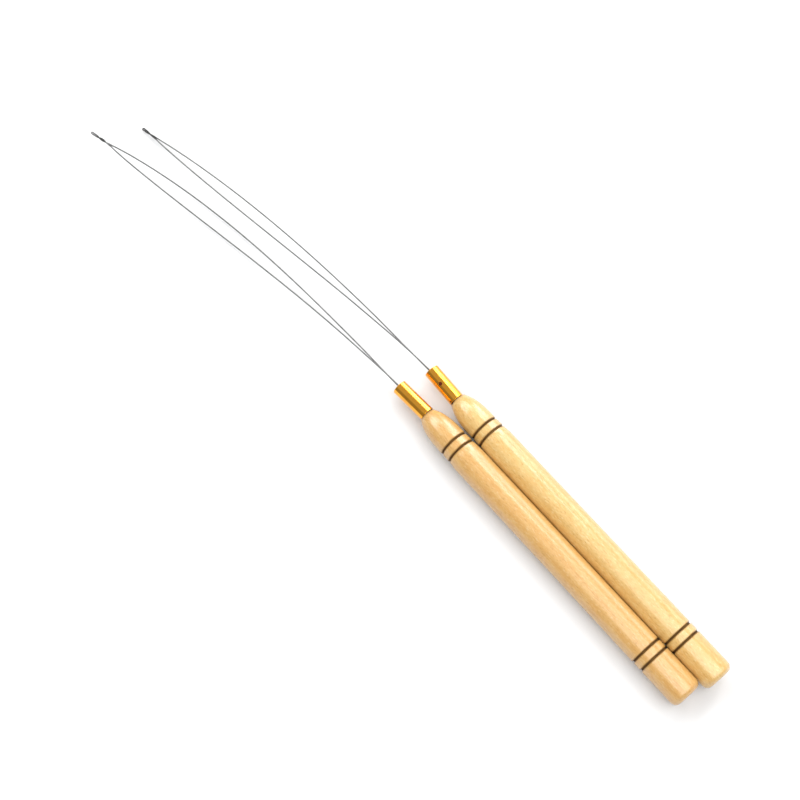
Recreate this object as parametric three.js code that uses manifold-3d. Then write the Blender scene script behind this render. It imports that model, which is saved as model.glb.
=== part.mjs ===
// A pair of pulling hooks for hair extensions, lying side by side: each is a turned wooden handle with a
// brass ferrule and one long loop of thin spring-steel wire. Millimetres, +Z up, +X from the butts to the
// tips, +Y to the left.
import * as THREE from "three";
import { mergeVertices } from "three/addons/utils/BufferGeometryUtils.js";
import Module from "manifold-3d";

const wasm = await Module();
wasm.setup();

// Clearances
const fitGap = 0.3; // between the ferrule's bore and what sits in it
const seatGap = 0.3; // between the ferrule's base and the handle's shoulder
const wireGap = 0.15; // round a wire in its hole, between the legs where they are pressed together, and
// between the stretches that the wire is made in
const handleGap = 0.1; // between the two handles

// The turned handle
const barrelRadius = 4.5;
const handleLength = 99.8; // butt face to the shoulder under the ferrule
const buttEdgeRadius = 1.8;
const grooveWidth = 0.9;
const grooveDepth = 0.35;
const grooveSpacing = 2.85; // middle to middle in a pair of grooves
const buttGrooveInset = 12.5; // butt face to the middle of the first groove
const noseGrooveInset = 10.7; // shoulder to the middle of the first groove
const noseRadius = 4.22; // at the foremost groove
const shoulderRadius = 2.35;
const noseFullness = 3.2; // power of the nose's curve, more is blunter
const swellLength = 2.4; // behind the nose grooves, where the radius grows to the barrel's
const tenonLength = 8;
const boreRadius = 0.7; // blind bore for the wire's tails
const boreSpare = 4.6; // how far the bore goes on past the tails' ends

// The ferrule with its pin and glue
const ferruleRadius = 2.2;
const ferruleWall = 0.35;
const ferruleLength = 11;
const ferruleEdge = 0.1; // chamfer of its rims
const pinInset = 5; // mouth to the pin's axis
const pinHoleRadius = 0.5;
const pinRadius = 0.32;
const pinSink = 0.08; // how far the pin's head lies under the ferrule's surface
const pinGrip = 0.45; // how deep the pin's hole goes into the tenon
const glueRecess = 0.4; // mouth to the face of the glue
const cutterReach = 1; // how far a hole's cutter starts outside the surface

// The wire
const wireDiameter = 0.4;
const tailLength = 14; // mouth to the end of each tail

// Faces round a turned piece and round the wire, and steps along the stretches of the wire
const turnedSides = 40;
const smallSides = 16;
const wireSides = 8;
const steps = { tail: 3, leg: 44, neck: 14, eye: 4, tip: 4, arc: 6, nose: 9 };

// What differs between the two hooks. Each loop leaves the mouth at exit (mm to the left of the handle's
// axis) and then runs lean, bow and curl millimetres to the left, as the first, second and third power of
// the way to its tip. It dips under the axis by dip on its way (or arches over it, below zero) and ends at
// tipHeight over the surface. The legs part at opens, are widest at gap, meet again where the neck starts,
// are twisted together by neckTurns over neckLength, and end in an eye.
const leftHook = {
  name: "left",
  outerSide: 1, // the side of the leg away from the other hook: 1 is the left
  setBack: 0, // how far the hook lies back from the foremost one
  ferruleSkew: 2.6, // degrees to the left of the handle's axis
  pinTurn: -170, // degrees round the ferrule from the top, to the left
  reach: 117.4,
  exit: 0.3,
  lean: 4.1,
  bow: 1.6,
  curl: 10.8,
  dip: 4.25,
  tipHeight: 7.4,
  opens: 3.8,
  gap: 4.26,
  risePower: 1.82,
  fallPower: 0.81,
  neckLength: 4.2,
  neckTurns: 1,
  eyeLength: 2.4,
  eyeWidth: 0.84,
};
const rightHook = {
  name: "right",
  outerSide: -1,
  setBack: 2.2,
  ferruleSkew: -2.6,
  pinTurn: 28,
  reach: 114.6,
  exit: 0,
  lean: 4,
  bow: 13.9,
  curl: -5.6,
  dip: -0.67,
  tipHeight: 0.85,
  opens: 9,
  gap: 3.44,
  risePower: 1.45,
  fallPower: 0.9,
  neckLength: 2.4,
  neckTurns: 0.5,
  eyeLength: 1.2,
  eyeWidth: 0.66,
};

// Worked out from the sizes above
const axisHeight = barrelRadius * Math.cos(Math.PI / turnedSides); // a handle lies on one of its flats
const boreOfFerrule = ferruleRadius - ferruleWall;
const tenonRadius = boreOfFerrule - fitGap;
const mouthX = handleLength + seatGap + ferruleLength;
const boreEnd = mouthX - tailLength - boreSpare;
const pairWidth = wireDiameter + wireGap; // middle to middle of the legs where they are pressed together
const pitch = 2 * barrelRadius + handleGap;

const finishes = {
  wood: { color: 0xe9c68c, roughness: 0.38, metalness: 0 },
  brass: { color: 0xd8a22c, roughness: 0.22, metalness: 1 },
  steel: { color: 0xa9abad, roughness: 0.3, metalness: 1 },
  pin: { color: 0x5b2414, roughness: 0.6, metalness: 0.4 },
  glue: { color: 0xc9b68a, roughness: 0.45, metalness: 0 },
};

function named(name, geometry, finish) {
  const mesh = new THREE.Mesh(geometry, new THREE.MeshStandardMaterial(finishes[finish]));
  mesh.name = name;
  return mesh;
}

// A turned piece from its outline of [distance along the axis, radius] pairs, with the axis along X
function turned(outline, sides) {
  const points = outline.map(([along, radius]) => new THREE.Vector2(radius, along));
  const geometry = new THREE.LatheGeometry(points, sides, Math.PI / sides);
  return geometry.rotateZ(-Math.PI / 2);
}

function toSolid(geometry) {
  const bare = new THREE.BufferGeometry();
  bare.setAttribute("position", geometry.getAttribute("position"));
  bare.setIndex(geometry.getIndex());
  const merged = mergeVertices(bare, 1e-4);
  const mesh = new wasm.Mesh({
    numProp: 3,
    vertProperties: new Float32Array(merged.attributes.position.array),
    triVerts: new Uint32Array(merged.index.array),
  });
  return new wasm.Manifold(mesh);
}

function toGeometry(solid) {
  const mesh = solid.getMesh();
  const geometry = new THREE.BufferGeometry();
  geometry.setAttribute("position", new THREE.BufferAttribute(mesh.vertProperties, 3));
  geometry.setIndex(new THREE.BufferAttribute(mesh.triVerts, 1));
  const faceted = geometry.toNonIndexed();
  faceted.computeVertexNormals();
  return faceted;
}

function cut(geometry, ...cutters) {
  const left = cutters.reduce((solid, cutter) => solid.subtract(toSolid(cutter)), toSolid(geometry));
  return toGeometry(left);
}

// A straight round rod between two points
function rod(from, to, radius, sides) {
  const run = new THREE.Vector3().subVectors(to, from);
  const geometry = new THREE.CylinderGeometry(radius, radius, run.length(), sides);
  const turn = new THREE.Quaternion().setFromUnitVectors(new THREE.Vector3(0, 1, 0), run.normalize());
  const middle = new THREE.Vector3().addVectors(from, to).multiplyScalar(0.5);
  return geometry.applyQuaternion(turn).translate(middle.x, middle.y, middle.z);
}

// The three corners of a burnt V groove in a surface that runs from one radius to the next
function groove(middle, radiusBefore, radiusAfter) {
  return [
    [middle - grooveWidth / 2, radiusBefore],
    [middle, (radiusBefore + radiusAfter) / 2 - grooveDepth],
    [middle + grooveWidth / 2, radiusAfter],
  ];
}

function handleOutline() {
  const outline = [[0, 0]];
  for (let i = 0; i <= steps.arc; i += 1) {
    const angle = (i / steps.arc) * (Math.PI / 2);
    const radius = barrelRadius - buttEdgeRadius * (1 - Math.sin(angle));
    outline.push([buttEdgeRadius * (1 - Math.cos(angle)), radius]);
  }
  outline.push(...groove(buttGrooveInset, barrelRadius, barrelRadius));
  outline.push(...groove(buttGrooveInset + grooveSpacing, barrelRadius, barrelRadius));
  const fore = handleLength - noseGrooveInset;
  const aft = fore - grooveSpacing;
  const landRadius = noseRadius + (barrelRadius - noseRadius) / 4;
  outline.push([aft - grooveWidth / 2 - swellLength, barrelRadius]);
  outline.push([aft - grooveWidth / 2 - swellLength / 2, barrelRadius - (barrelRadius - landRadius) / 4]);
  outline.push(...groove(aft, landRadius, landRadius));
  outline.push(...groove(fore, noseRadius, noseRadius));
  const noseStart = fore + grooveWidth / 2;
  for (let i = 1; i <= steps.nose; i += 1) {
    const share = i / steps.nose;
    const radius = shoulderRadius + (noseRadius - shoulderRadius) * (1 - share ** noseFullness);
    outline.push([noseStart + (handleLength - noseStart) * share, radius]);
  }
  outline.push([handleLength, tenonRadius]);
  outline.push([handleLength + tenonLength, tenonRadius]);
  outline.push([handleLength + tenonLength, boreRadius]);
  outline.push([boreEnd, boreRadius]);
  outline.push([boreEnd, 0]);
  return outline;
}

function ferruleOutline() {
  return [
    [0, boreOfFerrule],
    [0, ferruleRadius - ferruleEdge],
    [ferruleEdge, ferruleRadius],
    [ferruleLength - ferruleEdge, ferruleRadius],
    [ferruleLength, ferruleRadius - ferruleEdge],
    [ferruleLength, boreOfFerrule],
    [0, boreOfFerrule],
  ];
}

// A rod along the pin's axis, in the ferrule's frame, from one distance off the ferrule's axis to another
function pinRod(hook, from, to, radius) {
  const turn = THREE.MathUtils.degToRad(hook.pinTurn);
  const out = new THREE.Vector3(0, Math.sin(turn), Math.cos(turn));
  const foot = new THREE.Vector3(ferruleLength - pinInset, 0, 0);
  const start = foot.clone().addScaledVector(out, from);
  return rod(start, foot.addScaledVector(out, to), radius, smallSides);
}

// Where the middle of the loop runs, in the handle's frame, at a distance from the ferrule's mouth
function middleOfLoop(hook, fromMouth) {
  if (fromMouth <= 0) {
    return new THREE.Vector3(mouthX + fromMouth, hook.exit * (1 + fromMouth / tailLength), 0);
  }
  const u = fromMouth / hook.reach;
  const left = hook.exit + hook.lean * u + hook.bow * u ** 2 + hook.curl * u ** 3;
  const deepest = (2 / 3) ** 2 / 3; // the most that u^2 (1 - u) comes to
  const up = (hook.tipHeight - axisHeight) * u ** 3 - (hook.dip * u ** 2 * (1 - u)) / deepest;
  return new THREE.Vector3(mouthX + fromMouth, left, up);
}

// The loop's own directions at that distance: along it, level across it, and square to both
function directionsOfLoop(hook, fromMouth) {
  const reach = 0.05;
  const before = middleOfLoop(hook, fromMouth - reach);
  const along = middleOfLoop(hook, fromMouth + reach).sub(before).normalize();
  const across = new THREE.Vector3(-along.y, along.x, 0).normalize();
  return { along, across, over: new THREE.Vector3().crossVectors(along, across) };
}

function legPoint(hook, side, fromMouth, width, turns) {
  const { across, over } = directionsOfLoop(hook, fromMouth);
  const angle = turns * 2 * Math.PI;
  return middleOfLoop(hook, fromMouth)
    .addScaledVector(across, side * (width / 2) * Math.cos(angle))
    .addScaledVector(over, side * (width / 2) * Math.sin(angle));
}

// Where the legs meet again and the neck starts
function neckStart(hook) {
  return hook.reach - hook.eyeLength - hook.neckLength;
}

// Middle to middle of the two legs between where they part and where they meet again
function legWidth(hook, share) {
  const peak = hook.risePower / (hook.risePower + hook.fallPower);
  const rise = (share / peak) ** hook.risePower;
  const fall = ((1 - share) / (1 - peak)) ** hook.fallPower;
  return pairWidth + (hook.gap - pairWidth) * rise * fall;
}

// One side of the wire, from the end of its tail to the tip of the eye
function sidePoints(hook, side) {
  const closes = neckStart(hook);
  const points = [];
  for (let i = 0; i < steps.tail; i += 1) {
    points.push(legPoint(hook, side, -tailLength * (1 - i / steps.tail), pairWidth, 0));
  }
  points.push(legPoint(hook, side, 0, pairWidth, 0));
  for (let i = 0; i < steps.leg; i += 1) {
    const share = Math.sin(((i / steps.leg) * Math.PI) / 2); // closer together toward the tip
    const at = hook.opens + (closes - hook.opens) * share;
    points.push(legPoint(hook, side, at, legWidth(hook, share), 0));
  }
  for (let i = 0; i < steps.neck; i += 1) {
    const share = i / steps.neck;
    points.push(legPoint(hook, side, closes + hook.neckLength * share, pairWidth, hook.neckTurns * share));
  }
  const eyeStart = closes + hook.neckLength;
  const roundStart = hook.reach - (hook.eyeWidth + wireDiameter) / 2;
  for (let i = 0; i < steps.eye; i += 1) {
    const share = i / steps.eye;
    const width = pairWidth + (hook.eyeWidth - pairWidth) * THREE.MathUtils.smoothstep(share, 0, 1);
    points.push(legPoint(hook, side, eyeStart + (roundStart - eyeStart) * share, width, hook.neckTurns));
  }
  for (let i = 0; i < steps.tip; i += 1) {
    const angle = ((i / steps.tip) * Math.PI) / 2;
    const width = hook.eyeWidth * Math.cos(angle);
    const at = roundStart + (hook.eyeWidth / 2) * Math.sin(angle);
    points.push(legPoint(hook, side, at, width, hook.neckTurns));
  }
  return points;
}

// A stretch of the smooth curve through some points, from one place in their list to another. It is
// stepped from point to point, so that tight bends keep theirs.
class Stretch extends THREE.Curve {
  constructor(points, from, to) {
    super();
    this.whole = new THREE.CatmullRomCurve3(points);
    this.from = from / (points.length - 1);
    this.to = to / (points.length - 1);
  }

  getPoint(share, target) {
    return this.whole.getPoint(THREE.MathUtils.lerp(this.from, this.to, share), target);
  }

  getPointAt(share, target) {
    return this.getPoint(share, target);
  }

  getTangentAt(share, target) {
    return this.getTangent(share, target);
  }
}

function wireStretch(points, from, to) {
  const section = new THREE.Shape();
  for (let i = 0; i < wireSides; i += 1) {
    const angle = (i / wireSides) * 2 * Math.PI;
    const corner = [(wireDiameter / 2) * Math.cos(angle), (wireDiameter / 2) * Math.sin(angle)];
    if (i === 0) section.moveTo(...corner);
    else section.lineTo(...corner);
  }
  return new THREE.ExtrudeGeometry(section, {
    steps: Math.round(to - from),
    bevelEnabled: false,
    extrudePath: new Stretch(points, from, to),
  });
}

// The wire of a hook: its outer leg with a tail, its twisted tip, and its inner leg with a tail
function wireGeometries(hook) {
  const outer = sidePoints(hook, hook.outerSide);
  const tip = legPoint(hook, 1, hook.reach - wireDiameter / 2, 0, 0);
  const inner = sidePoints(hook, -hook.outerSide).reverse();
  const points = [...outer, tip, ...inner];
  const last = points.length - 1;
  const joint = steps.tail + 1 + steps.leg; // the point where the legs meet again
  const legEnd = joint - wireGap / 2 / points[joint].distanceTo(points[joint - 1]);
  const tipStart = joint + wireGap / 2 / points[joint].distanceTo(points[joint + 1]);
  return {
    outer_leg: wireStretch(points, 0, legEnd),
    tip: wireStretch(points, tipStart, last - tipStart),
    inner_leg: wireStretch(points, last - legEnd, last),
  };
}

// The set glue round the two tails, in the ferrule's frame
function gluePlug(hook, ferruleFrame) {
  const start = handleLength + tenonLength + fitGap - (mouthX - ferruleLength);
  const end = ferruleLength - glueRecess;
  const radius = boreOfFerrule - wireGap;
  const plug = turned([[start, 0], [start, radius], [end, radius], [end, 0]], smallSides);
  const toFerrule = ferruleFrame.clone().invert();
  const holes = [1, -1].map((side) => {
    const inner = legPoint(hook, side, -tailLength, pairWidth, 0).applyMatrix4(toFerrule);
    const outer = legPoint(hook, side, 0, pairWidth, 0).applyMatrix4(toFerrule);
    return rod(inner, outer, wireDiameter / 2 + wireGap, smallSides);
  });
  return cut(plug, ...holes);
}

function buildHook(hook) {
  const group = new THREE.Group();
  const ferruleGroup = new THREE.Group();
  const pivot = tenonLength / 2; // the ferrule sits askew about the middle of the tenon
  const skew = THREE.MathUtils.degToRad(hook.ferruleSkew);
  const base = new THREE.Vector3(seatGap - pivot, 0, 0).applyAxisAngle(new THREE.Vector3(0, 0, 1), skew);
  ferruleGroup.position.set(handleLength + pivot, 0, 0).add(base);
  ferruleGroup.rotation.z = skew;
  ferruleGroup.updateMatrix();

  const pinHole = pinRod(hook, tenonRadius - pinGrip, ferruleRadius + cutterReach, pinHoleRadius);
  const pinEnd = tenonRadius - pinGrip + wireGap;
  const pin = pinRod(hook, pinEnd, ferruleRadius - pinSink, pinRadius);
  const handle = turned(handleOutline(), turnedSides);
  const tenonHole = pinHole.clone().applyMatrix4(ferruleGroup.matrix);
  const ferrule = turned(ferruleOutline(), turnedSides);
  group.add(named(`${hook.name}_handle`, cut(handle, tenonHole), "wood"));
  for (const [stretch, geometry] of Object.entries(wireGeometries(hook))) {
    group.add(named(`${hook.name}_wire_${stretch}`, geometry, "steel"));
  }
  ferruleGroup.add(named(`${hook.name}_ferrule`, cut(ferrule, pinHole), "brass"));
  ferruleGroup.add(named(`${hook.name}_ferrule_pin`, pin, "pin"));
  ferruleGroup.add(named(`${hook.name}_glue_plug`, gluePlug(hook, ferruleGroup.matrix), "glue"));
  group.add(ferruleGroup);
  group.position.set(-hook.setBack, 0, axisHeight);
  return group;
}

const pair = new THREE.Group();
for (const hook of [leftHook, rightHook]) {
  const built = buildHook(hook);
  built.position.y = hook.outerSide * (pitch / 2);
  pair.add(built);
}

// The origin lies on the surface under the middle of the pair
pair.updateMatrixWorld(true);
const around = new THREE.Box3().setFromObject(pair, true);
const middle = around.getCenter(new THREE.Vector3());
pair.position.set(-middle.x, -middle.y, -around.min.z);

const part = new THREE.Group();
part.add(pair);
export default part;
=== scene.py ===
"""A pair of pulling hooks for hair extensions, lying side by side on a pale surface.

Each hook is a turned wooden handle with burnt grooves, a brass ferrule with its pin, and a long loop of
spring-steel wire. Everything is in metres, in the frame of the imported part: +X runs from the butts of the
handles to the tips of the loops, +Y to the left and +Z up.
"""

import logging
import math
from collections.abc import Callable, Sequence
from dataclasses import dataclass, field
from enum import Enum
from functools import reduce
from typing import TypeAlias

import bpy
from mathutils import Matrix, Vector


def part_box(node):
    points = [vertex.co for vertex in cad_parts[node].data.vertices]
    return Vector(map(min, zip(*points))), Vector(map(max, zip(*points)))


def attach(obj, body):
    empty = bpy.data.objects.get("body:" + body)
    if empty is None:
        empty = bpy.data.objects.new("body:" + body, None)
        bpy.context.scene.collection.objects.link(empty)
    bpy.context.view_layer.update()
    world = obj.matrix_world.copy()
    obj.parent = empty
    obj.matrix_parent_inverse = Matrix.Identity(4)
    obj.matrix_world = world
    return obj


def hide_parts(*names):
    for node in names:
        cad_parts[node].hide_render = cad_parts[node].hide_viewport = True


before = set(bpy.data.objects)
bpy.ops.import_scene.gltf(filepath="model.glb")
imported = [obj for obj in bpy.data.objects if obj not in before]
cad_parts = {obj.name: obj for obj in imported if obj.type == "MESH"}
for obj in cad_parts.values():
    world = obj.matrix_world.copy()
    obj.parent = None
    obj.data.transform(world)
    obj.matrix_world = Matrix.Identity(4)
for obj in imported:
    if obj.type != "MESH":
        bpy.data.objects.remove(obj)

log = logging.getLogger("pulling_hooks")

MM = 0.001
X_AXIS = Vector((1, 0, 0))

Colour = tuple[float, float, float]
Value: TypeAlias = "float | Sequence[float] | Shade"
Piece: TypeAlias = bpy.types.Object
Material: TypeAlias = bpy.types.Material


class Side(Enum):
    """Which of the two hooks, seen from the butts of the handles."""

    LEFT = "left"
    RIGHT = "right"

    def named(self, piece: str) -> str:
        """The name of one of this hook's pieces, or of its body, which is a hook."""
        return f"{self.value}_{piece}"


class Slot(Enum):
    """The record's material slots."""

    WOOD = "turned_wood"
    BRASS = "ferrule_brass"
    PIN = "pin_steel"
    GLUE = "set_glue"
    WIRE = "spring_wire"


# Shader recipes


@dataclass(frozen=True)
class Shade:
    """An output socket of a recipe that takes part in Python arithmetic, adding a Math node each time."""

    recipe: "Recipe"
    socket: bpy.types.NodeSocket

    def _math(self, operation: str, *values: Value) -> "Shade":
        """Adds a Math node.

        Args:
            operation: The node's operation.
            values: What goes into its sockets, in order.

        Returns:
            The node's result.
        """
        return self.recipe.add("Math", dict(enumerate(values)), operation=operation)

    def __add__(self, other: Value) -> "Shade":
        """This plus another value."""
        return self._math("ADD", self, other)

    __radd__ = __add__

    def __sub__(self, other: Value) -> "Shade":
        """This less another value."""
        return self._math("SUBTRACT", self, other)

    def __rsub__(self, other: float) -> "Shade":
        """A number less this."""
        return self._math("SUBTRACT", other, self)

    def __mul__(self, other: Value) -> "Shade":
        """This times another value."""
        return self._math("MULTIPLY", self, other)

    __rmul__ = __mul__

    def __truediv__(self, other: Value) -> "Shade":
        """This divided by another value."""
        return self._math("DIVIDE", self, other)

    def __pow__(self, other: Value) -> "Shade":
        """This to a power."""
        return self._math("POWER", self, other)

    def size(self) -> "Shade":
        """This without its sign."""
        return self._math("ABSOLUTE", self)

    def wave(self) -> "Shade":
        """The sine of this."""
        return self._math("SINE", self)

    def least(self, other: Value) -> "Shade":
        """The smaller of this and another value."""
        return self._math("MINIMUM", self, other)

    def eased(self, start: float, end: float) -> "Shade":
        """A smooth step.

        Args:
            start: Where the result is 0.
            end: Where the result is 1, on either side of start.

        Returns:
            The step, from 0 to 1.
        """
        low, high, to_low, to_high = (start, end, 0.0, 1.0) if start < end else (end, start, 1.0, 0.0)
        sockets = {"Value": self, "From Min": low, "From Max": high, "To Min": to_low, "To Max": to_high}
        return self.recipe.add("MapRange", sockets, interpolation_type="SMOOTHSTEP")


@dataclass(frozen=True)
class Noise:
    """A noise pattern: its features to a metre along X, Y and Z, its finer layers and how strong they are."""

    scale: tuple[float, float, float]
    detail: float = 2.0
    rough: float = 0.5


@dataclass(frozen=True)
class Stain:
    """How a pattern lets a second colour in: from the value start on, and by share at the value full."""

    start: float
    full: float
    share: float = 1.0

    def of(self, pattern: Shade) -> Shade:
        """How much of the second colour there is."""
        return pattern.eased(self.start, self.full) * self.share


class Recipe:
    """The nodes of one material: its surface shader, and the patterns that feed it."""

    # The Mix node has sockets for numbers, vectors and colours under the same names, so these go by number.
    FIRST_COLOUR = 6
    SECOND_COLOUR = 7
    MIXED_COLOUR = 2

    def __init__(self, name: str, centre: Vector, turn: Sequence[float] = (0, 0, 0)) -> None:
        """Starts a material.

        Args:
            name: The material's name.
            centre: Where its patterns start from, in the row frame.
            turn: How they are turned about that point, in radians about X, Y and Z.
        """
        self.material = bpy.data.materials.new(name)
        self.material.use_nodes = True
        self.tree = self.material.node_tree
        self.surface = self.tree.nodes["Principled BSDF"]
        on_surface = self.add("TexCoord", output="Object")
        moved = self.add("VectorMath", {0: on_surface, 1: centre}, operation="SUBTRACT")
        self.at = self.add("Mapping", {"Vector": moved, "Rotation": turn})

    def add(self, kind: str, sockets: dict | None = None, output: int | str = 0, **settings: str) -> Shade:
        """Adds a node.

        Args:
            kind: The node's type, without its ShaderNode prefix.
            sockets: What goes into its input sockets, by name or number.
            output: Which of its output sockets is wanted.
            settings: The node's own settings, which are set first.

        Returns:
            That output socket.
        """
        node = self.tree.nodes.new(f"ShaderNode{kind}")
        for key, value in settings.items():
            setattr(node, key, value)
        for key, value in (sockets or {}).items():
            self._connect(node.inputs[key], value)
        return Shade(self, node.outputs[output])

    def _connect(self, socket: bpy.types.NodeSocket, value: Value) -> None:
        """Links a socket to a shade, or sets it to a value.

        Args:
            socket: An input socket.
            value: A shade, a number, a vector, or a colour without its alpha.
        """
        if isinstance(value, Shade):
            self.tree.links.new(value.socket, socket)
        elif isinstance(value, (int, float)):
            socket.default_value = value
        else:
            parts = list(value)
            socket.default_value = parts + [1.0] * (len(socket.default_value) - len(parts))

    def parts(self) -> tuple[Shade, Shade, Shade]:
        """The X, Y and Z of a point of the surface, in metres, as the patterns are turned."""
        return tuple(self.add("SeparateXYZ", {0: self.at}, axis) for axis in ("X", "Y", "Z"))

    def noise(self, pattern: Noise) -> Shade:
        """Smooth noise from 0 to 1.

        Args:
            pattern: The noise's scale and layers.

        Returns:
            The noise.
        """
        scaled = self.add("Mapping", {"Vector": self.at, "Scale": pattern.scale})
        sockets = {"Vector": scaled, "Scale": 1.0, "Detail": pattern.detail, "Roughness": pattern.rough}
        return self.add("TexNoise", sockets)

    def mix(self, share: Value, first: Value, second: Value) -> Shade:
        """A colour between two others.

        Args:
            share: 0 for the first colour and 1 for the second.
            first: A colour.
            second: Another colour.

        Returns:
            The mixed colour.
        """
        sockets = {"Factor": share, self.FIRST_COLOUR: first, self.SECOND_COLOUR: second}
        return self.add("Mix", sockets, self.MIXED_COLOUR, data_type="RGBA")

    def bump(self, height: Shade, distance: float, under: Shade | None = None) -> Shade:
        """A bumpy normal.

        Args:
            height: The height of the surface, in units of distance.
            distance: How far 1 stands out, in metres.
            under: The normal of a coarser bump that this one is laid on.

        Returns:
            The normal.
        """
        sockets = {"Height": height, "Distance": distance, "Strength": 1.0}
        if under is not None:
            sockets["Normal"] = under
        return self.add("Bump", sockets)

    def finish(self, **sockets: Value) -> Material:
        """Sets the surface shader.

        Args:
            sockets: The shader's sockets, with an underscore for each space of a name.

        Returns:
            The finished material.
        """
        for key, value in sockets.items():
            self._connect(self.surface.inputs[key.replace("_", " ")], value)
        return self.material


# Finishes


@dataclass(frozen=True)
class TurnedWood:
    """Pale close-grained wood under a clear varnish, with grooves burnt in by a hot wire and painted shade by
    the ferrule.

    The reliefs are shares of fine_depth, and what is called rough adds to the roughness.
    """

    pale: Colour = (0.64, 0.415, 0.15)
    warm: Colour = (0.615, 0.357, 0.107)
    ring: Colour = (0.535, 0.28, 0.073)
    pore: Colour = (0.365, 0.18, 0.045)
    silver: Colour = (0.68, 0.515, 0.265)
    # This colour is both the real scorch beside the grooves and the painted shade at the seam under the
    # ferrule.
    scorched_and_seam_shade: Colour = (0.30, 0.155, 0.03)
    burnt: Colour = (0.048, 0.019, 0.003)
    tone: Colour = (1.0, 1.0, 1.0)

    pith_distance: float = 21 * MM
    ring_spacing: float = 1.9 * MM
    ring_wander: float = 1.6
    rings_per_metre_along: float = 3.0
    ring_sharpness: float = 2.5
    ring_share: float = 0.25

    wander: Noise = Noise((9, 90, 90))
    fibre: Noise = Noise((90, 2100, 2100), 3.0, 0.6)
    blotch: Noise = Noise((210, 620, 620), 3.0, 0.6)
    cloud: Noise = Noise((28, 130, 130))
    flecks: Noise = Noise((900, 3300, 3300), 2.0, 0.6)
    pores: Noise = Noise((700, 7500, 7500), 1.0)
    uneven: Noise = Noise((900, 500, 500))
    marks: Noise = Noise((2600, 12, 12), 1.0)
    waves: Noise = Noise((160, 420, 420))

    warm_blotch: Stain = Stain(0.36, 0.64, 0.7)
    warm_cloud: Stain = Stain(0.35, 0.65, 0.3)
    ringed_fibre: Stain = Stain(0.4, 0.7, 0.3)
    dark_fleck: Stain = Stain(0.56, 0.72, 0.55)
    silver_fleck: Stain = Stain(0.45, 0.30, 0.6)
    open_pore: Stain = Stain(0.64, 0.76)
    pore_share: float = 0.35

    scorch_reach: float = 0.30 * MM
    scorch_full: float = 0.7
    scorch_share: float = 0.7
    char_full: float = 0.4
    char_share: float = 0.9
    char_unevenness: float = 0.5
    groove_unevenness: float = 0.22 * MM
    # Painted shade on the wood at the seam under the ferrule: how far it reaches, how strong it is, and how
    # uneven its edge is.
    seam_shade_reach: float = 0.7 * MM
    seam_shade_share: float = 0.6
    seam_shade_unevenness: float = 0.3 * MM

    fine_depth: float = 0.014 * MM
    wave_depth: float = 0.05 * MM
    fibre_relief: float = 0.5
    mark_relief: float = 0.4
    pore_relief: float = 0.5
    char_relief: float = 0.4
    roughness: float = 0.5
    char_rough: float = 0.3
    fibre_rough: float = 0.06
    specular: float = 0.2
    coat_roughness: float = 0.23
    coat_ior: float = 1.7

    def toned(self, colour: Colour) -> Colour:
        """A colour of the wood times this piece's own tone."""
        return tuple(part * tone for part, tone in zip(colour, self.tone))

    def material(self, recipe: Recipe, handle: "Handle") -> Material:
        """Makes the finish of one handle.

        Args:
            recipe: The material's recipe, from the butt face and with the grain along X.
            handle: The handle, with its grooves and its shoulder.

        Returns:
            The material.
        """
        along = recipe.parts()[0]
        fibre = recipe.noise(self.fibre)
        pores = self.open_pore.of(recipe.noise(self.pores))
        uneven = recipe.noise(self.uneven) - 0.5
        nearest = reduce(Shade.least, ((along - groove).size() for groove in handle.grooves()))
        from_groove = nearest + uneven * self.groove_unevenness
        half = handle.groove_width / 2
        char = from_groove.eased(half, half * self.char_full)

        wood = self._grain(recipe, fibre, pores)
        scorch = from_groove.eased(half + self.scorch_reach, half * self.scorch_full)
        wood = recipe.mix(scorch * self.scorch_share, wood, self.scorched_and_seam_shade)
        charred = char * (uneven * self.char_unevenness + self.char_share)
        wood = recipe.mix(charred, wood, self.burnt)
        # Painted shade: the wood darkens towards the ferrule's shoulder, standing in for the shade in the
        # seam.
        by_ferrule = along + uneven * self.seam_shade_unevenness
        seam_shade = by_ferrule.eased(handle.length - self.seam_shade_reach, handle.length)
        wood = recipe.mix(seam_shade * self.seam_shade_share, wood, self.scorched_and_seam_shade)

        marks = recipe.noise(self.marks)
        raised = fibre * self.fibre_relief + marks * self.mark_relief
        height = raised - pores * self.pore_relief - char * self.char_relief
        waves = recipe.bump(recipe.noise(self.waves), self.wave_depth)
        return recipe.finish(
            Base_Color=wood,
            Roughness=char * self.char_rough + fibre * self.fibre_rough + self.roughness,
            Specular_IOR_Level=self.specular,
            Coat_Weight=1 - char,
            Coat_Roughness=self.coat_roughness,
            Coat_IOR=self.coat_ior,
            Normal=recipe.bump(height, self.fine_depth, waves),
        )

    def _grain(self, recipe: Recipe, fibre: Shade, pores: Shade) -> Shade:
        """The colour of the bare wood.

        Args:
            recipe: The material's recipe.
            fibre: The noise of the fibres.
            pores: How open the pores are.

        Returns:
            The colour.
        """
        along, across, up = recipe.parts()
        from_pith = ((across + self.pith_distance) ** 2 + up * up) ** 0.5
        wander = recipe.noise(self.wander) * self.ring_wander
        year = from_pith / self.ring_spacing + wander + along * self.rings_per_metre_along
        late = ((year * math.tau).wave() * 0.5 + 0.5) ** self.ring_sharpness
        flecks = recipe.noise(self.flecks)
        blotch = self.warm_blotch.of(recipe.noise(self.blotch))
        cloud = self.warm_cloud.of(recipe.noise(self.cloud))
        wood = recipe.mix(blotch + cloud, self.toned(self.pale), self.toned(self.warm))
        rings = late * self.ring_share + self.ringed_fibre.of(fibre)
        wood = recipe.mix(rings, wood, self.toned(self.ring))
        wood = recipe.mix(self.dark_fleck.of(flecks) + pores * self.pore_share, wood, self.pore)
        return recipe.mix(self.silver_fleck.of(flecks), wood, self.toned(self.silver))


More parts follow.
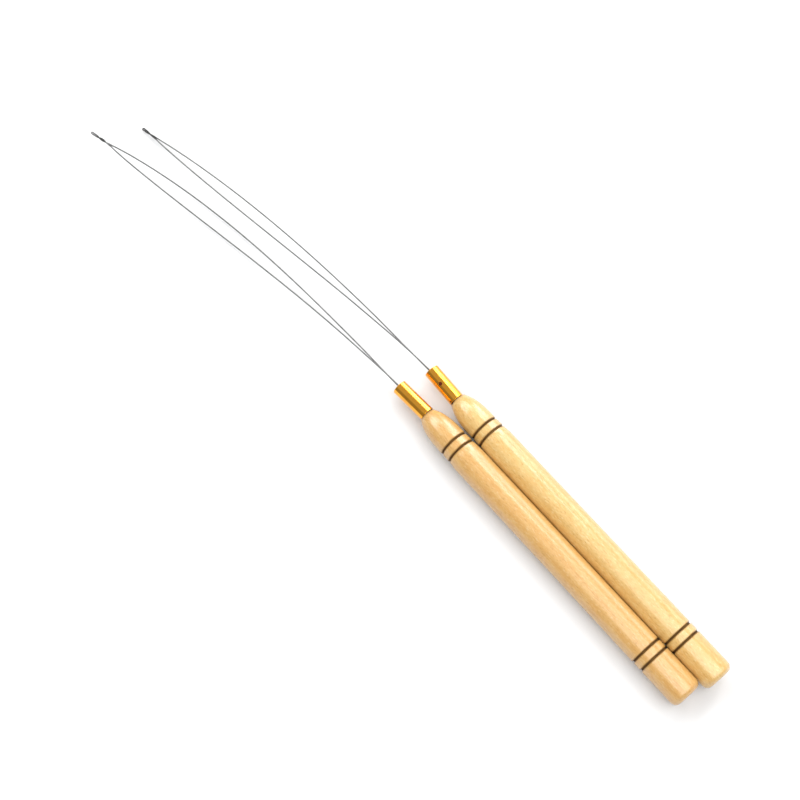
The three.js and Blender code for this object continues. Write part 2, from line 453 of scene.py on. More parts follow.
@dataclass(frozen=True)
class DrawnBrass:
    """Bright brass tube with the fine lines of drawing along it, and a little tarnish."""

    bright: Colour = (0.95, 0.42, 0.02)
    tarnish: Colour = (0.50, 0.20, 0.01)
    drawn: Noise = Noise((60, 9000, 9000))
    smudge: Noise = Noise((260, 420, 420), 3.0, 0.6)
    fleck: Noise = Noise((2400, 2400, 2400))
    smudge_stain: Stain = Stain(0.5, 0.78, 0.35)
    spot: Stain = Stain(0.68, 0.8)
    spot_share: float = 0.4
    roughness: float = 0.06
    smudge_rough: float = 0.06
    drawn_rough: float = 0.04
    spot_rough: float = 0.15
    lacquer: float = 0.8
    lacquer_roughness: float = 0.05
    drawn_relief: float = 0.7
    smudge_relief: float = 0.3
    depth: float = 0.004 * MM

    def material(self, recipe: Recipe) -> Material:
        """Makes the finish of one ferrule.

        Args:
            recipe: The material's recipe, with the tube along X.

        Returns:
            The material.
        """
        drawn = recipe.noise(self.drawn)
        smudge = recipe.noise(self.smudge)
        spots = self.spot.of(recipe.noise(self.fleck))
        stained = self.smudge_stain.of(smudge) + spots * self.spot_share
        rough = smudge * self.smudge_rough + drawn * self.drawn_rough + self.roughness
        return recipe.finish(
            Base_Color=recipe.mix(stained, self.bright, self.tarnish),
            Metallic=1.0,
            Roughness=rough + spots * self.spot_rough,
            Coat_Weight=self.lacquer,
            Coat_Roughness=self.lacquer_roughness,
            Normal=recipe.bump(drawn * self.drawn_relief + smudge * self.smudge_relief, self.depth),
        )


@dataclass(frozen=True)
class SpringSteel:
    """Drawn steel wire with fine lines and dull spots from its drawing, and painted shade over the twisted
    neck near its tip.
    """

    bright: Colour = (0.19, 0.19, 0.188)
    dull: Colour = (0.09, 0.09, 0.088)
    # The colour of the painted shade over the twisted neck near the tip.
    neck_shade: Colour = (0.045, 0.044, 0.043)
    lines: Noise = Noise((300, 12000, 12000))
    spots: Noise = Noise((700, 1500, 1500), 3.0, 0.6)
    dull_spot: Stain = Stain(0.42, 0.72, 0.7)
    fade: float = 0.6 * MM
    neck_shade_share: float = 0.85
    roughness: float = 0.36
    line_rough: float = 0.08
    spot_rough: float = 0.08
    depth: float = 0.003 * MM

    def material(self, recipe: Recipe, neck_shade_from: float, neck_shade_to: float) -> Material:
        """Makes the finish of a wire.

        Args:
            recipe: The material's recipe, from the tip of the loop.
            neck_shade_from: How far from the tip the darkening starts.
            neck_shade_to: How near the tip it ends.

        Returns:
            The material.
        """
        back = recipe.parts()[0] * -1
        lines = recipe.noise(self.lines)
        spots = recipe.noise(self.spots)
        steel = recipe.mix(self.dull_spot.of(spots), self.bright, self.dull)
        # Painted shade: the steel darkens over the twisted neck, where the strands lie together near the tip.
        behind = back.eased(neck_shade_from + self.fade, neck_shade_from - self.fade)
        before = back.eased(neck_shade_to - self.fade, neck_shade_to + self.fade)
        return recipe.finish(
            Base_Color=recipe.mix(behind * before * self.neck_shade_share, steel, self.neck_shade),
            Metallic=1.0,
            Roughness=lines * self.line_rough + spots * self.spot_rough + self.roughness,
            Normal=recipe.bump(lines, self.depth),
        )


@dataclass(frozen=True)
class Mottled:
    """A finish with rougher patches of a second colour, and with small dimples."""

    base: Colour
    patch: Colour
    patches: Noise
    stain: Stain
    roughness: float
    patch_rough: float
    dimples: Noise
    depth: float
    metallic: float = 0.0
    specular: float = 0.5
    subsurface: float = 0.0
    subsurface_scale: float = 0.4 * MM

    def material(self, recipe: Recipe) -> Material:
        """Makes the finish of one piece.

        Args:
            recipe: The material's recipe.

        Returns:
            The material.
        """
        patches = recipe.noise(self.patches)
        return recipe.finish(
            Base_Color=recipe.mix(self.stain.of(patches), self.base, self.patch),
            Metallic=self.metallic,
            Roughness=patches * self.patch_rough + self.roughness,
            Specular_IOR_Level=self.specular,
            Subsurface_Weight=self.subsurface,
            Subsurface_Scale=self.subsurface_scale,
            Normal=recipe.bump(recipe.noise(self.dimples), self.depth),
        )


DARK_PIN = Mottled(
    base=(0.045, 0.008, 0.005), patch=(0.15, 0.022, 0.012),
    patches=Noise((3200, 3200, 3200), 3.0, 0.6), stain=Stain(0.4, 0.65), roughness=0.6, patch_rough=0.3,
    dimples=Noise((3200, 3200, 3200), 3.0, 0.6), depth=0.02 * MM, metallic=0.2, specular=0.15,
)
SET_GLUE = Mottled(
    base=(0.50, 0.36, 0.15), patch=(0.72, 0.62, 0.42),
    patches=Noise((1400, 1400, 1400), 3.0, 0.6), stain=Stain(0.4, 0.65), roughness=0.22, patch_rough=0.2,
    dimples=Noise((3600, 3600, 3600)), depth=0.03 * MM, subsurface=0.2,
)


@dataclass(frozen=True)
class PaleSurface:
    """The smooth near-white surface that the hooks lie on."""

    colour: Colour = (0.67, 0.67, 0.674)
    roughness: float = 0.75
    specular: float = 0.2

    def material(self, recipe: Recipe) -> Material:
        """Makes the finish of the floor."""
        surface = {"Roughness": self.roughness, "Specular_IOR_Level": self.specular}
        return recipe.finish(Base_Color=self.colour, **surface)


# Modelling


def softened(share: float) -> float:
    """A share from 0 to 1, with a soft start and a soft end."""
    return (3 - 2 * share) * share**2


def shares(steps: int) -> list[float]:
    """The share of the way at the start of each of some equal steps."""
    return [i / steps for i in range(steps)]


@dataclass
class Outline:
    """The outline of a turned piece: places along its axis, each with a radius."""

    points: list[tuple[float, float]] = field(default_factory=list)

    def to(self, along: float, radius: float) -> "Outline":
        """Starts at a point, or goes straight to the next one."""
        self.points.append((along, radius))
        return self

    def curve(self, steps: int, place: Callable[[float], tuple[float, float]]) -> "Outline":
        """Follows a curve.

        Args:
            steps: How many points it gets.
            place: Gives the place along the axis and the radius at a share of the way, from 0 to 1.

        Returns:
            This outline.
        """
        for i in range(1, steps + 1):
            self.to(*place(i / steps))
        return self


class Bench:
    """The moves of hand modelling that the pieces share."""

    MERGE = 1e-7

    @staticmethod
    def clear() -> None:
        """Leaves edit mode and deselects everything."""
        if bpy.context.mode != "OBJECT":
            bpy.ops.object.mode_set(mode="OBJECT")
        bpy.ops.object.select_all(action="DESELECT")

    @staticmethod
    def pick(piece: Piece) -> None:
        """Selects one object alone and makes it the active one.

        Args:
            piece: The object.
        """
        Bench.clear()
        piece.select_set(True)
        bpy.context.view_layer.objects.active = piece

    @staticmethod
    def turn(name: str, outline: Outline, sides: int) -> Piece:
        """Turns a piece about the X axis: one point is drawn out along the outline, which is then spun.

        Args:
            name: The piece's name.
            outline: The outline, in metres.
            sides: How many steps go round.

        Returns:
            The piece.
        """
        Bench.clear()
        (along, radius), *rest = outline.points
        bpy.ops.mesh.primitive_plane_add(size=MM, location=(along, 0, radius))
        piece = bpy.context.object
        piece.name = piece.data.name = name
        bpy.ops.object.mode_set(mode="EDIT")
        bpy.ops.mesh.select_mode(type="VERT")
        bpy.ops.mesh.select_all(action="SELECT")
        bpy.ops.mesh.merge(type="CENTER")
        for next_along, next_radius in rest:
            step = (next_along - along, 0, next_radius - radius)
            bpy.ops.mesh.extrude_region_move(TRANSFORM_OT_translate={"value": step})
            along, radius = next_along, next_radius
        bpy.ops.mesh.select_all(action="SELECT")
        bpy.ops.mesh.spin(steps=sides, angle=math.tau, center=(0, 0, 0), axis=(1, 0, 0))
        Bench.close()
        bpy.ops.object.transform_apply(location=True, rotation=True, scale=True)
        return piece

    @staticmethod
    def close() -> None:
        """Merges doubles, turns the faces outward and goes back from edit mode to object mode."""
        bpy.ops.mesh.select_all(action="SELECT")
        bpy.ops.mesh.remove_doubles(threshold=Bench.MERGE)
        bpy.ops.mesh.normals_make_consistent(inside=False)
        bpy.ops.object.mode_set(mode="OBJECT")

    @staticmethod
    def select_edges(piece: Piece, wanted: Callable[[Vector, Vector], bool]) -> None:
        """Selects edges of a piece and goes into edit mode.

        Args:
            piece: The piece.
            wanted: Says of an edge's two ends, in the piece's own frame, whether it is selected.
        """
        Bench.pick(piece)
        bpy.ops.object.mode_set(mode="EDIT")
        bpy.ops.mesh.select_mode(type="EDGE")
        bpy.ops.mesh.select_all(action="DESELECT")
        bpy.ops.object.mode_set(mode="OBJECT")
        points = [v.co for v in piece.data.vertices]
        for edge in piece.data.edges:
            edge.select = wanted(points[edge.vertices[0]], points[edge.vertices[1]])
        bpy.ops.object.mode_set(mode="EDIT")

    @staticmethod
    def settle(piece: Piece, place: Matrix) -> None:
        """Puts a piece in its place, and that place in its mesh.

        Args:
            piece: A piece made about the X axis.
            place: Where it goes, in the row frame.
        """
        Bench.pick(piece)
        piece.matrix_world = place
        bpy.ops.object.transform_apply(location=True, rotation=True, scale=True)

    @staticmethod
    def modify(piece: Piece, kind: str, **settings: object) -> None:
        """Adds a modifier and applies it.

        Args:
            piece: The piece.
            kind: The modifier's type.
            settings: Its settings.
        """
        Bench.pick(piece)
        bpy.ops.object.modifier_add(type=kind)
        modifier = piece.modifiers[-1]
        for key, value in settings.items():
            setattr(modifier, key, value)
        bpy.ops.object.modifier_apply(modifier=modifier.name)

    @staticmethod
    def smooth(piece: Piece, angle: float) -> None:
        """Shades a piece smooth, but for edges sharper than an angle in degrees."""
        Bench.pick(piece)
        bpy.ops.object.shade_smooth_by_angle(angle=math.radians(angle))

    @staticmethod
    def dress(piece: Piece, material: Material, slot: Slot, side: Side, *nodes: str) -> None:
        """Gives a finished piece its material, its body, and the nodes that it stands for.

        Args:
            piece: The piece.
            material: Its material.
            slot: The record's slot that its finish comes from; not used.
            side: The hook that it belongs to.
            nodes: The pieces of that hook that it stands for, without the hook's name.
        """
        piece.data.materials.clear()
        piece.data.materials.append(material)
        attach(piece, side.named("hook"))
        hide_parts(*(side.named(node) for node in nodes))
        log.info("%s: %d faces", piece.name, len(piece.data.polygons))


# The pieces of a hook


@dataclass
class Handle:
    """The turned handle, from its rounded butt to the tenon under the ferrule."""

    side: Side
    grain_turn: float
    butt_edge: float = 1.8 * MM
    groove_width: float = 0.85 * MM
    groove_depth: float = 0.35 * MM
    groove_spacing: float = 2.85 * MM
    butt_groove_inset: float = 12.5 * MM
    nose_groove_inset: float = 10.7 * MM
    nose_radius: float = 4.22 * MM
    shoulder_radius: float = 2.35 * MM
    shoulder_edge: float = 0.12 * MM
    groove_fullness: float = 0.8
    nose_fullness: float = 3.2
    land_swell: float = 0.25
    swell_length: float = 2.4 * MM
    tenon_length: float = 8 * MM
    tenon_radius: float = 1.55 * MM
    bore_radius: float = 0.7 * MM
    bore_depth: float = 16 * MM
    sides: int = 96
    butt_steps: int = 12
    groove_steps: int = 10
    barrel_steps: int = 24
    swell_steps: int = 8
    nose_steps: int = 28
    radius: float = field(init=False)
    length: float = field(init=False)
    butt: Vector = field(init=False)

    def __post_init__(self) -> None:
        """Reads the handle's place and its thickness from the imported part."""
        low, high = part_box(self.side.named("handle"))
        middle = (low + high) / 2
        self.radius = (high.z - low.z) / 2
        self.length = high.x - low.x - self.tenon_length
        self.butt = Vector((low.x, middle.y, middle.z))

    def grooves(self) -> list[float]:
        """The middles of the four burnt grooves, from the butt face."""
        near, far = self.butt_groove_inset, self.length - self.nose_groove_inset
        return [near, near + self.groove_spacing, far - self.groove_spacing, far]

    def _groove(self, outline: Outline, middle: float, radius: float) -> None:
        """Adds one groove to the outline.

        Args:
            outline: The outline so far.
            middle: The groove's middle.
            radius: The radius of the wood beside it.
        """
        half = self.groove_width / 2
        outline.to(middle - half, radius)
        outline.curve(self.groove_steps, lambda share: (
            middle + half * (2 * share - 1),
            radius - self.groove_depth * math.sin(math.pi * share) ** self.groove_fullness,
        ))

    def outline(self) -> Outline:
        """Draws the handle.

        Returns:
            Its outline, from the middle of its butt face to the end of its bore.
        """
        edge, half = self.butt_edge, self.groove_width / 2
        butt_near, butt_far, aft, fore = self.grooves()
        land_radius = self.nose_radius + (self.radius - self.nose_radius) * self.land_swell
        outline = Outline().to(0, 0).to(0, self.radius - edge)
        outline.curve(self.butt_steps, lambda share: (
            edge * (1 - math.cos(share * math.pi / 2)),
            self.radius - edge * (1 - math.sin(share * math.pi / 2)),
        ))
        self._groove(outline, butt_near, self.radius)
        self._groove(outline, butt_far, self.radius)
        swell = aft - half - self.swell_length
        barrel = butt_far + half
        outline.curve(self.barrel_steps, lambda share: (barrel + (swell - barrel) * share, self.radius))
        outline.curve(self.swell_steps, lambda share: (
            swell + self.swell_length * share,
            self.radius - (self.radius - land_radius) * (1 - math.cos(share * math.pi)) / 2,
        ))
        self._groove(outline, aft, land_radius)
        self._groove(outline, fore, self.nose_radius)
        nose = fore + half
        outline.curve(self.nose_steps, lambda share: (
            nose + (self.length - nose) * math.sin(share * math.pi / 2),
            self.shoulder_radius + (self.nose_radius - self.shoulder_radius)
            * (1 - math.sin(share * math.pi / 2) ** self.nose_fullness),
        ))
        outline.to(self.length, self.shoulder_radius - self.shoulder_edge)
        outline.to(self.length, self.tenon_radius)
        tenon_end = self.length + self.tenon_length
        outline.to(tenon_end, self.tenon_radius).to(tenon_end, self.bore_radius)
        bore_end = tenon_end - self.bore_depth
        return outline.to(bore_end, self.bore_radius).to(bore_end, 0)

    def build(self, wood: TurnedWood) -> None:
        """Makes the handle.

        Args:
            wood: Its finish.
        """
        name = self.side.named("turned_handle")
        piece = Bench.turn(name, self.outline(), self.sides)
        Bench.settle(piece, Matrix.Translation(self.butt))
        Bench.smooth(piece, angle=40)
        recipe = Recipe(f"{name}_wood", self.butt, (self.grain_turn, 0, 0))
        Bench.dress(piece, wood.material(recipe, self), Slot.WOOD, self.side, "handle")


@dataclass
class Ferrule:
    """The brass tube on the tenon, a little out of line with the handle, with a hole for its pin."""

    handle: Handle
    skew: float
    pin_turn: float
    radius: float = 2.2 * MM
    wall: float = 0.35 * MM
    length: float = 11 * MM
    seat_gap: float = 0.3 * MM
    rim_edge: float = 0.1 * MM
    pin_inset: float = 5 * MM
    pin_hole_radius: float = 0.5 * MM
    hole_edge: float = 0.05 * MM
    beside_hole: float = 1.2 * MM
    sides: int = 96
    hole_sides: int = 48
    rim_steps: int = 4
    flat_weight: int = 80

    @property
    def place(self) -> Matrix:
        """The ferrule's frame.

        Returns:
            A frame whose origin is the middle of the base and whose X axis runs to the mouth.
        """
        pivot = self.handle.tenon_length / 2
        middle = self.handle.butt + Vector((self.handle.length + pivot, 0, 0))
        turned = Matrix.Rotation(self.skew, 4, "Z")
        return Matrix.Translation(middle) @ turned @ Matrix.Translation((self.seat_gap - pivot, 0, 0))

    @property
    def pin_place(self) -> Matrix:
        """The pin's frame.

        Returns:
            A frame whose origin is on the ferrule's axis and whose X axis runs outward along the pin.
        """
        out = Vector((0, math.sin(self.pin_turn), math.cos(self.pin_turn)))
        foot = Matrix.Translation((self.length - self.pin_inset, 0, 0))
        return self.place @ foot @ X_AXIS.rotation_difference(out).to_matrix().to_4x4()

    def build(self, brass: DrawnBrass) -> None:
        """Makes the ferrule: a turned tube with bevelled rims and a drilled hole.

        Args:
            brass: Its finish.
        """
        name = self.handle.side.named("brass_ferrule")
        bore = self.radius - self.wall
        hole = self.length - self.pin_inset
        outline = Outline().to(0, bore).to(0, self.radius).to(hole - self.beside_hole, self.radius)
        outline.to(hole + self.beside_hole, self.radius).to(self.length, self.radius)
        outline.to(self.length, bore).to(0, bore)
        piece = Bench.turn(name, outline, self.sides)
        Bench.select_edges(piece, self._is_rim)
        bpy.ops.mesh.bevel(offset=self.rim_edge, segments=self.rim_steps, profile=0.5)
        Bench.close()
        self._drill(piece)
        Bench.settle(piece, self.place)
        Bench.smooth(piece, angle=35)
        Bench.modify(piece, "WEIGHTED_NORMAL", keep_sharp=True, weight=self.flat_weight)
        centre = self.place @ Vector((self.length / 2, 0, 0))
        recipe = Recipe(f"{name}_brass", centre, (0, 0, -self.skew))
        Bench.dress(piece, brass.material(recipe), Slot.BRASS, self.handle.side, "ferrule")

    def _is_rim(self, one: Vector, other: Vector) -> bool:
        """Whether an edge with these ends lies round the outside or the inside of a rim."""
        at_end = any(max(abs(one.x - end), abs(other.x - end)) < Bench.MERGE for end in (0, self.length))
        return at_end and abs(math.hypot(*one.yz) - math.hypot(*other.yz)) < self.rim_edge / 2

    def _drill(self, piece: Piece) -> None:
        """Drills the pin's hole.

        Args:
            piece: The tube, still about the X axis.
        """
        deep, clear = self.radius - 2 * self.wall, self.radius + self.wall
        wide = self.pin_hole_radius + 2 * self.hole_edge
        drill = Outline().to(deep, 0).to(deep, self.pin_hole_radius)
        drill.to(self.radius - self.hole_edge, self.pin_hole_radius)
        drill.to(self.radius + self.hole_edge, wide).to(clear, wide).to(clear, 0)
        cutter = Bench.turn("drill", drill, self.hole_sides)
        Bench.settle(cutter, self.place.inverted() @ self.pin_place)
        Bench.modify(piece, "BOOLEAN", operation="DIFFERENCE", object=cutter, solver="EXACT")
        bpy.data.objects.remove(cutter)


@dataclass
class FerrulePin:
    """The small pin that fixes the ferrule to the tenon."""

    ferrule: Ferrule
    radius: float = 0.47 * MM
    sink: float = 0.08 * MM
    dome: float = 0.12 * MM
    grip: float = 0.3 * MM
    sides: int = 32
    dome_steps: int = 8

    def build(self, finish: Mottled) -> None:
        """Makes the pin, with a low domed head.

        Args:
            finish: Its finish.
        """
        side = self.ferrule.handle.side
        name = side.named("domed_pin")
        head = self.ferrule.radius - self.sink
        foot = self.ferrule.handle.tenon_radius - self.grip
        outline = Outline().to(foot, 0).to(foot, self.radius).to(head - self.dome, self.radius)
        outline.curve(self.dome_steps, lambda share: (
            head - self.dome * (1 - math.sin(share * math.pi / 2)),
            self.radius * math.cos(share * math.pi / 2),
        ))
        piece = Bench.turn(name, outline, self.sides)
        Bench.settle(piece, self.ferrule.pin_place)
        Bench.smooth(piece, angle=50)
        recipe = Recipe(f"{name}_steel", self.ferrule.pin_place @ Vector((head, 0, 0)))
        Bench.dress(piece, finish.material(recipe), Slot.PIN, side, "ferrule_pin")


@dataclass
class GluePlug:
    """The set glue in the ferrule's mouth, drawn up round the wires and along the wall."""

    ferrule: Ferrule
    clearance: float = 0.3 * MM
    recess: float = 0.55 * MM
    wall_gap: float = 0.02 * MM
    wall_rise: float = 0.25 * MM
    wire_rise: float = 0.35 * MM
    wire_spread: float = 0.5 * MM
    wall_power: float = 8
    lumps: float = 0.06 * MM
    lump_size: float = 0.5 * MM
    sides: int = 48
    face_steps: int = 18

    def build(self, finish: Mottled) -> None:
        """Makes the plug.

        Args:
            finish: Its finish.
        """
        ferrule = self.ferrule
        side = ferrule.handle.side
        name = side.named("set_glue")
        start = ferrule.handle.tenon_length + self.clearance - ferrule.seat_gap
        radius = ferrule.radius - ferrule.wall - self.wall_gap
        face = ferrule.length - self.recess

        def across(share: float) -> tuple[float, float]:
            """The face of the glue.

            Args:
                share: 0 at the wall and 1 in the middle.

            Returns:
                The place along the axis and the radius.
            """
            out = radius * (1 - share)
            rise = self.wall_rise * (out / radius) ** self.wall_power
            rise += self.wire_rise * math.exp(-((out / self.wire_spread) ** 2))
            return face + rise, out

        outline = Outline().to(start, 0).to(start, radius).to(face + self.wall_rise, radius)
        piece = Bench.turn(name, outline.curve(self.face_steps, across), self.sides)
        texture = bpy.data.textures.new(f"{name}_lumps", "CLOUDS")
        texture.noise_scale = self.lump_size
        Bench.settle(piece, ferrule.place)
        Bench.modify(piece, "DISPLACE", texture=texture, strength=self.lumps, mid_level=0.5,
                     texture_coords="GLOBAL", direction="X")
        Bench.smooth(piece, angle=50)
        recipe = Recipe(f"{name}_glue", ferrule.place @ Vector((face, 0, 0)))
        Bench.dress(piece, finish.material(recipe), Slot.GLUE, side, "glue_plug")


@dataclass(frozen=True)
class LoopShape:
    """How a loop runs from the ferrule's mouth to its tip.

    The middle of the loop leaves the mouth at exit, to the left of the handle's axis, and runs lean, bow and
    curl to the left as the first, second and third power of the way to its tip. It dips under the axis on its
    way and ends at tip_height. The strands leave the mouth one over the other and lie side by side from
    level_from. The legs part at opens and are gap apart at their widest. Between the last two fields,
    measured
    back from the tip, the wire is darkened: painted shade where the twisted strands lie together.
    """

    reach: float
    exit: float
    lean: float
    bow: float
    curl: float
    dip: float
    tip_height: float
    level_from: float
    opens: float
    gap: float
    rise_power: float
    fall_power: float
    neck_length: float
    neck_turns: float
    eye_length: float
    eye_width: float
    neck_shade_from: float
    neck_shade_to: float

    @property
    def closes(self) -> float:
        """Where the legs meet again and the neck starts."""
        return self.reach - self.eye_length - self.neck_length


LEFT_LOOP = LoopShape(
    reach=117.4 * MM, exit=0.3 * MM, lean=4.1 * MM, bow=1.6 * MM, curl=10.8 * MM, dip=4.25 * MM,
    tip_height=7.4 * MM, level_from=18 * MM, opens=3.8 * MM, gap=4.26 * MM, rise_power=1.82, fall_power=0.81,
    neck_length=5.1 * MM, neck_turns=1, eye_length=1.5 * MM, eye_width=0.48 * MM,
    neck_shade_from=4 * MM, neck_shade_to=1.9 * MM,
)
RIGHT_LOOP = LoopShape(
    reach=114.6 * MM, exit=0, lean=4 * MM, bow=13.9 * MM, curl=-5.6 * MM, dip=-0.67 * MM,
    tip_height=0.85 * MM, level_from=24 * MM, opens=9 * MM, gap=3.44 * MM, rise_power=1.45, fall_power=0.9,
    neck_length=4.6 * MM, neck_turns=0.5, eye_length=1.2 * MM, eye_width=0.56 * MM,
    neck_shade_from=6 * MM, neck_shade_to=-4 * MM,
)


@dataclass
class WireLoop:
    """The wire: two tails in the ferrule, two legs that part and meet, a twisted neck and an eye."""

    ferrule: Ferrule
    shape: LoopShape
    diameter: float = 0.4 * MM
    drawn_radius: float = 0.198 * MM
    strand_gap: float = 0.02 * MM
    twist_growth: float = 1.5
    mouth_turns: float = 0.25
    tail_length: float = 14 * MM
    tail_steps: int = 8
    leg_steps: int = 72
    neck_steps: int = 40
    eye_steps: int = 14
    tip_steps: int = 8
    round_steps: int = 5

    @property
    def mouth(self) -> Vector:
        """Where the handle's axis passes the ferrule's mouth."""
        handle = self.ferrule.handle
        return handle.butt + Vector((handle.length + self.ferrule.seat_gap + self.ferrule.length, 0, 0))

    @property
    def pair_width(self) -> float:
        """Middle to middle of the strands where they lie together."""
        return self.diameter + self.strand_gap

    def middle(self, out: float) -> Vector:
        """The middle of the loop.

        Args:
            out: The distance from the mouth.

        Returns:
            A point between the strands.
        """
        loop = self.shape
        if out <= 0:
            return self.mouth + Vector((out, loop.exit * (1 + out / self.tail_length), 0))
        way = out / loop.reach
        left = loop.exit + loop.lean * way + loop.bow * way**2 + loop.curl * way**3
        lowest = 2 / 3  # of the way out, where the curve of the dip has its peak
        dip = loop.dip * way**2 * (1 - way) / (lowest**2 * (1 - lowest))
        climb = loop.tip_height - self.mouth.z
        return self.mouth + Vector((out, left, climb * way**3 - dip))

    def strand(self, side: int, out: float, width: float, turns: float) -> Vector:
        """A point of one strand.

        Args:
            side: 1 for the left strand and -1 for the right one.
            out: The distance from the mouth.
            width: Middle to middle of the two strands there.
            turns: How many turns they are twisted by there.

        Returns:
            The middle of the strand.
        """
        beside = self.diameter / 8
        along = self.middle(out + beside) - self.middle(out - beside)
        across = Vector((-along.y, along.x, 0)).normalized()
        over = along.cross(across).normalized()
        angle = turns * math.tau
        return self.middle(out) + (across * math.cos(angle) + over * math.sin(angle)) * (side * width / 2)

    def width(self, share: float) -> float:
        """Middle to middle of the legs.

        Args:
            share: 0 where they part and 1 where they meet.

        Returns:
            The width in metres.
        """
        loop = self.shape
        peak = loop.rise_power / (loop.rise_power + loop.fall_power)
        swell = (share / peak) ** loop.rise_power * ((1 - share) / (1 - peak)) ** loop.fall_power
        return self.pair_width + (loop.gap - self.pair_width) * swell

    def turn(self, out: float) -> float:
        """How many turns the strands are twisted by, until they lie side by side at level_from."""
        return self.mouth_turns * (1 - softened(min(max(out / self.shape.level_from, 0), 1)))

    def course(self) -> list[tuple[float, float, float]]:
        """How the strands run from the ends of their tails to the tip.

        Returns:
            For each step the distance from the mouth, the width and the turns that strand() takes.
        """
        loop, pair = self.shape, self.pair_width
        eye_start = loop.closes + loop.neck_length
        round_start = loop.reach - (loop.eye_width + self.diameter) / 2
        course = []
        for share in shares(self.tail_steps):
            out = -self.tail_length * (1 - share)
            course.append((out, pair, self.turn(out)))
        for share in shares(self.tail_steps):
            out = loop.opens * share
            course.append((out, pair, self.turn(out)))
        for share in shares(self.leg_steps):
            way = math.sin(share * math.pi / 2)
            out = loop.opens + (loop.closes - loop.opens) * way
            course.append((out, self.width(way), self.turn(out)))
        for share in shares(self.neck_steps):
            turns = loop.neck_turns * share**self.twist_growth
            course.append((loop.closes + loop.neck_length * share, pair, turns))
        for share in shares(self.eye_steps):
            width = pair + (loop.eye_width - pair) * softened(share)
            course.append((eye_start + (round_start - eye_start) * share, width, loop.neck_turns))
        for share in shares(self.tip_steps):
            angle = share * math.pi / 2
            out = round_start + loop.eye_width / 2 * math.sin(angle)
            course.append((out, loop.eye_width * math.cos(angle), loop.neck_turns))
        return course

    def build(self, steel: SpringSteel) -> None:
        """Bends the wire.

        Args:
            steel: Its finish.
        """
        side = self.ferrule.handle.side
        name = side.named("wire_loop")
        tip = self.middle(self.shape.reach - self.diameter / 2)
        course = self.course()
        left, right = ([self.strand(sign, *step) for step in course] for sign in (1, -1))
        points = [*left, tip, *reversed(right)]
        Bench.clear()
        bpy.ops.curve.primitive_nurbs_path_add()
        piece = bpy.context.object
        piece.name = piece.data.name = name
        wire = piece.data
        wire.splines.clear()
        spline = wire.splines.new("POLY")
        spline.points.add(len(points) - 1)
        for point, middle in zip(spline.points, points):
            point.co = (*middle, 1.0)
        wire.dimensions = "3D"
        wire.twist_mode = "MINIMUM"
        wire.bevel_depth = self.drawn_radius
        wire.bevel_resolution = self.round_steps
        wire.use_fill_caps = True
        bpy.ops.object.convert(target="MESH")
        piece = bpy.context.object
        piece.data.name = name
        bpy.ops.object.mode_set(mode="EDIT")
        Bench.close()
        Bench.smooth(piece, angle=60)
        recipe = Recipe(f"{name}_steel", tip)
        material = steel.material(recipe, self.shape.neck_shade_from, self.shape.neck_shade_to)
        Bench.dress(piece, material, Slot.WIRE, side, "wire_outer_leg", "wire_inner_leg", "wire_tip")


@dataclass
class Hook:
    """One pulling hook, whose turns and skew are in degrees."""

    side: Side
    loop: LoopShape
    grain_turn: float
    ferrule_skew: float
    pin_turn: float
    wood: TurnedWood

    def build(self) -> None:
        """Makes the hook's pieces in order, from the handle to the wire."""
        handle = Handle(self.side, math.radians(self.grain_turn))
        ferrule = Ferrule(handle, math.radians(self.ferrule_skew), math.radians(self.pin_turn))
        handle.build(self.wood)
        ferrule.build(DrawnBrass())
        FerrulePin(ferrule).build(DARK_PIN)
        GluePlug(ferrule).build(SET_GLUE)
        WireLoop(ferrule, self.loop).build(SpringSteel())
        log.info("%s hook: done", self.side.value)


# The studio


@dataclass(frozen=True)
class SoftBox:
    """A soft lamp that faces the hooks, or one that hangs level over them."""

    name: str
    at: Vector
    width: float
    height: float
    power: float
    level: bool = False

    def build(self) -> None:
        """Hangs the lamp."""
        Bench.clear()
        bpy.ops.object.light_add(type="AREA", location=self.at)
        lamp = bpy.context.object
        lamp.name = lamp.data.name = self.name
        if not self.level:
            lamp.rotation_euler = (-self.at).to_track_quat("-Z", "Y").to_euler()
        lamp.data.shape = "RECTANGLE"
        lamp.data.size = self.width
        lamp.data.size_y = self.height
        lamp.data.energy = self.power


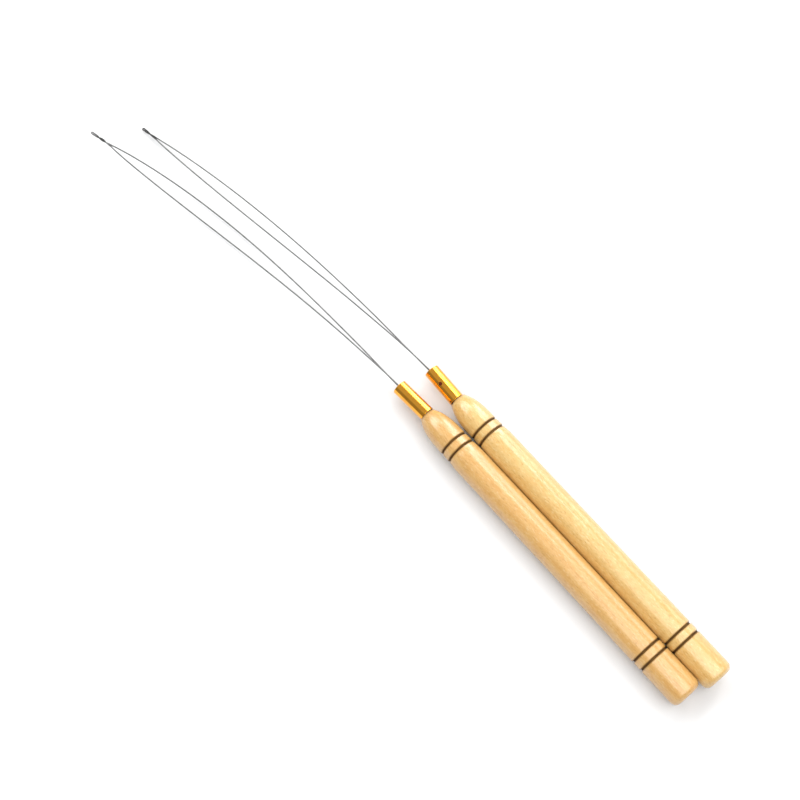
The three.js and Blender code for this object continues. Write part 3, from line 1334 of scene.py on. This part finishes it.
@dataclass(frozen=True)
class Studio:
    """The pale floor, the soft light and the camera at the photograph's angle."""

    target: Vector = Vector((-3.80 * MM, -0.18 * MM, 0))
    eye: Vector = Vector((-109.17 * MM, 91.20 * MM, 374.53 * MM))
    lens: float = 65.35
    sensor: float = 36.0
    nearest: float = 0.01
    farthest: float = 20.0
    floor_size: float = 12.0
    room: Colour = (1.0, 1.0, 1.0)
    room_strength: float = 0.32
    lamps: tuple[SoftBox, ...] = (
        SoftBox("key", Vector((0.234, -0.63, 0.59)), 0.18, 0.85, 2.85),
        SoftBox("beside_butts", Vector((-0.45, -0.60, 0.50)), 0.5, 0.6, 0.8),
        SoftBox("over_butts", Vector((-0.55, 0.04, 0.95)), 1.1, 1.5, 13.3, level=True),
        SoftBox("over_tips", Vector((0.95, 0.04, 0.95)), 0.8, 1.5, 18.8, level=True),
        SoftBox("over_middle", Vector((0.27, 0.15, 0.95)), 0.3, 1.5, 0.35, level=True),
        SoftBox("low_right", Vector((0.12, -0.66, 0.25)), 0.5, 0.35, 1.35),
    )

    def build(self) -> None:
        """Sets up the floor, the light and the camera."""
        self._floor()
        self._room()
        for lamp in self.lamps:
            lamp.build()
        self._camera()
        settings = bpy.context.scene.view_settings
        settings.view_transform = "Standard"
        settings.exposure = 0.0

    def _floor(self) -> None:
        """Lays the floor."""
        Bench.clear()
        bpy.ops.mesh.primitive_plane_add(size=self.floor_size)
        floor = bpy.context.object
        floor.name = "pale_floor"
        floor.data.materials.append(PaleSurface().material(Recipe("pale_floor", Vector())))

    def _room(self) -> None:
        """Lights the studio evenly and dimly from all round."""
        world = bpy.data.worlds.new("studio")
        world.use_nodes = True
        background = world.node_tree.nodes["Background"]
        background.inputs["Color"].default_value = (*self.room, 1.0)
        background.inputs["Strength"].default_value = self.room_strength
        bpy.context.scene.world = world

    def _camera(self) -> None:
        """Puts the camera where the photograph was taken from."""
        bpy.ops.object.camera_add(location=self.eye)
        camera = bpy.context.object
        camera.name = "photograph"
        camera.rotation_euler = (self.target - self.eye).to_track_quat("-Z", "Y").to_euler()
        camera.data.lens = self.lens
        camera.data.sensor_width = self.sensor
        camera.data.clip_start = self.nearest
        camera.data.clip_end = self.farthest
        bpy.context.scene.camera = camera


def main() -> None:
    """Builds both hooks and the studio round them."""
    logging.basicConfig(level=logging.INFO, format="%(message)s")
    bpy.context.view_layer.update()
    rosier, paler = TurnedWood(tone=(0.935, 0.89, 0.85)), TurnedWood(tone=(1.0, 1.05, 1.06))
    Hook(Side.LEFT, LEFT_LOOP, grain_turn=35, ferrule_skew=2.6, pin_turn=-170, wood=rosier).build()
    Hook(Side.RIGHT, RIGHT_LOOP, grain_turn=-110, ferrule_skew=-2.6, pin_turn=28, wood=paler).build()
    Studio().build()
    Bench.clear()


if __name__ == "__main__":
    main()
